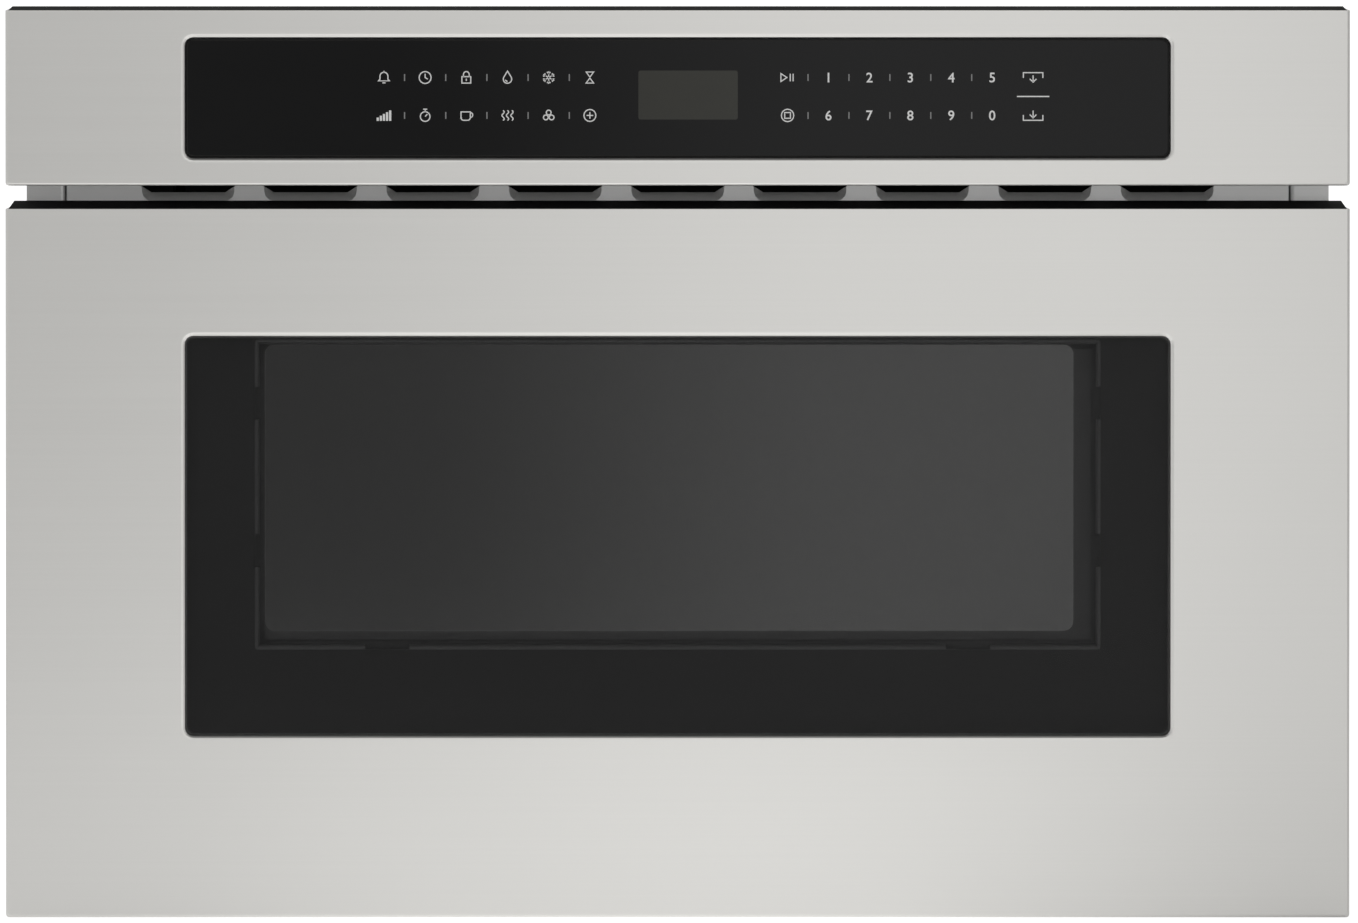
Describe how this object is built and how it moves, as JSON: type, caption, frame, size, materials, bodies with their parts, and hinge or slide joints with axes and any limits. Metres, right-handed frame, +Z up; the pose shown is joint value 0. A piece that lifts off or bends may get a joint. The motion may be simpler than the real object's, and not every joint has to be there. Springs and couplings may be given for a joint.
{
  "type": "microwave drawer",
  "caption": "Built-in microwave drawer: folded steel front with black glass, louvred vent line, and a powered drawer box on telescopic slides in a steel chassis.",
  "frame": {"origin": "centre of the underside of the chassis base, where the oven stands on the cabinet's shelf", "axes": "+X to the viewer's right, -Y to the front, +Z up"},
  "size_m": [0.6062, 0.597, 0.4106],
  "materials": {
    "stainless": "fine horizontal brushing",
    "front_steel": "plain steel sheet",
    "galvanised": "zinc-coated sheet",
    "enamel": "light grey enamel",
    "bright_steel": "plated steel",
    "iron": "varnished iron",
    "copper": "enamelled copper wire",
    "black_glass": "black printed glass",
    "smoked_metal": "black painted sheet",
    "black_plastic": "moulded black plastic",
    "acetal": "natural acetal",
    "red_plastic": "moulded red plastic",
    "circuit_board": "solder mask",
    "ceramic": "smooth ceramic plate"
  },
  "bodies": {
    "chassis": {"control_bezel": "stainless", "control_top_cap": "black_plastic", "control_glass": "black_glass", "control_housing": "black_plastic", "control_board": "circuit_board", "base_pan": "galvanised", "side_panel_left": "galvanised", "side_panel_right": "galvanised", "rear_panel": "galvanised", "cord_gland": "black_plastic", "top_cover": "galvanised", "front_plate": "front_steel", "flange_left": "front_steel", "flange_right": "front_steel", "vent_grille": "front_steel", "oven_cavity": "enamel", "stirrer_cover": "ceramic", "waveguide": "galvanised", "stirrer_motor": "galvanised", "oven_lamp": "acetal", "exhaust_duct": "galvanised", "power_board": "circuit_board", "magnetron": "galvanised", "transformer_core": "iron", "transformer_windings": "copper", "hv_capacitor": "bright_steel", "fan_shroud": "black_plastic", "fan_motor": "iron", "outer_rail_left": "bright_steel", "outer_rail_right": "bright_steel", "drive_bracket": "galvanised", "drive_motor": "iron", "door_switch": "black_plastic"},
    "drawer": {"drawer_skin": "stainless", "drawer_top_cap": "black_plastic", "window_glass": "black_glass", "window_frame": "smoked_metal", "window_screen": "smoked_metal", "door_frame": "enamel", "choke_cover": "black_plastic", "inner_glass": "black_glass", "switch_striker": "red_plastic", "drawer_box": "enamel", "floor_tray": "ceramic", "drawer_arm_left": "galvanised", "drawer_arm_right": "galvanised", "inner_rail_left": "bright_steel", "inner_rail_right": "bright_steel", "drive_rack": "acetal"},
    "middle_left": {"middle_rail_left": "bright_steel"},
    "middle_right": {"middle_rail_right": "bright_steel"},
    "outer_balls_left": {"outer_cage_left": "bright_steel"},
    "outer_balls_right": {"outer_cage_right": "bright_steel"},
    "inner_balls_left": {"inner_cage_left": "bright_steel"},
    "inner_balls_right": {"inner_cage_right": "bright_steel"},
    "drive_wheel": {"drive_gear": "acetal"},
    "motor_wheel": {"motor_pinion": "bright_steel"},
    "fan": {"fan_blades": "black_plastic"},
    "stirrer": {"stirrer": "bright_steel"},
    "plunger": {"switch_plunger": "red_plastic"}
  },
  "joints": [
    {"name": "drawer_slide", "type": "slide", "parent": "chassis", "child": "drawer", "axis": [0, -1, 0], "range_m": [0, 0.381]},
    {"name": "middle_slide_left", "type": "slide", "parent": "chassis", "child": "middle_left", "axis": [0, -1, 0], "range_m": [0, 0.1906]},
    {"name": "middle_slide_right", "type": "slide", "parent": "chassis", "child": "middle_right", "axis": [0, -1, 0], "range_m": [0, 0.1906]},
    {"name": "outer_cage_slide_left", "type": "slide", "parent": "chassis", "child": "outer_balls_left", "axis": [0, -1, 0], "range_m": [0, 0.0953]},
    {"name": "outer_cage_slide_right", "type": "slide", "parent": "chassis", "child": "outer_balls_right", "axis": [0, -1, 0], "range_m": [0, 0.0953]},
    {"name": "inner_cage_slide_left", "type": "slide", "parent": "chassis", "child": "inner_balls_left", "axis": [0, -1, 0], "range_m": [0, 0.2858]},
    {"name": "inner_cage_slide_right", "type": "slide", "parent": "chassis", "child": "inner_balls_right", "axis": [0, -1, 0], "range_m": [0, 0.2858]},
    {"name": "drive_spin", "type": "hinge", "parent": "chassis", "child": "drive_wheel", "pos_m": [0.24, -0.245, 0.04], "axis": [1, 0, 0], "continuous": true},
    {"name": "motor_spin", "type": "hinge", "parent": "chassis", "child": "motor_wheel", "pos_m": [0.229, -0.215, 0.04], "axis": [1, 0, 0], "continuous": true},
    {"name": "fan_spin", "type": "hinge", "parent": "chassis", "child": "fan", "pos_m": [0.17, 0.2655, 0.112], "axis": [0, 1, 0], "continuous": true},
    {"name": "stirrer_spin", "type": "hinge", "parent": "chassis", "child": "stirrer", "pos_m": [0, -0.06, 0.0834], "axis": [0, 0, 1], "continuous": true},
    {"name": "plunger_slide", "type": "slide", "parent": "chassis", "child": "plunger", "axis": [0, -1, 0], "range_m": [0, 0.002]}
  ],
  "couplings": [
    {"joint": "middle_slide_left", "follows": "drawer_slide", "ratio": 0.5},
    {"joint": "middle_slide_right", "follows": "drawer_slide", "ratio": 0.5},
    {"joint": "outer_cage_slide_left", "follows": "drawer_slide", "ratio": 0.25},
    {"joint": "outer_cage_slide_right", "follows": "drawer_slide", "ratio": 0.25},
    {"joint": "inner_cage_slide_left", "follows": "drawer_slide", "ratio": 0.75},
    {"joint": "inner_cage_slide_right", "follows": "drawer_slide", "ratio": 0.75},
    {"joint": "drive_spin", "follows": "drawer_slide", "rad_per_m": 83.333},
    {"joint": "motor_spin", "follows": "drawer_slide", "rad_per_m": -250},
    {"joint": "plunger_slide", "follows": "drawer_slide", "ratio": 0.0052}
  ]
}
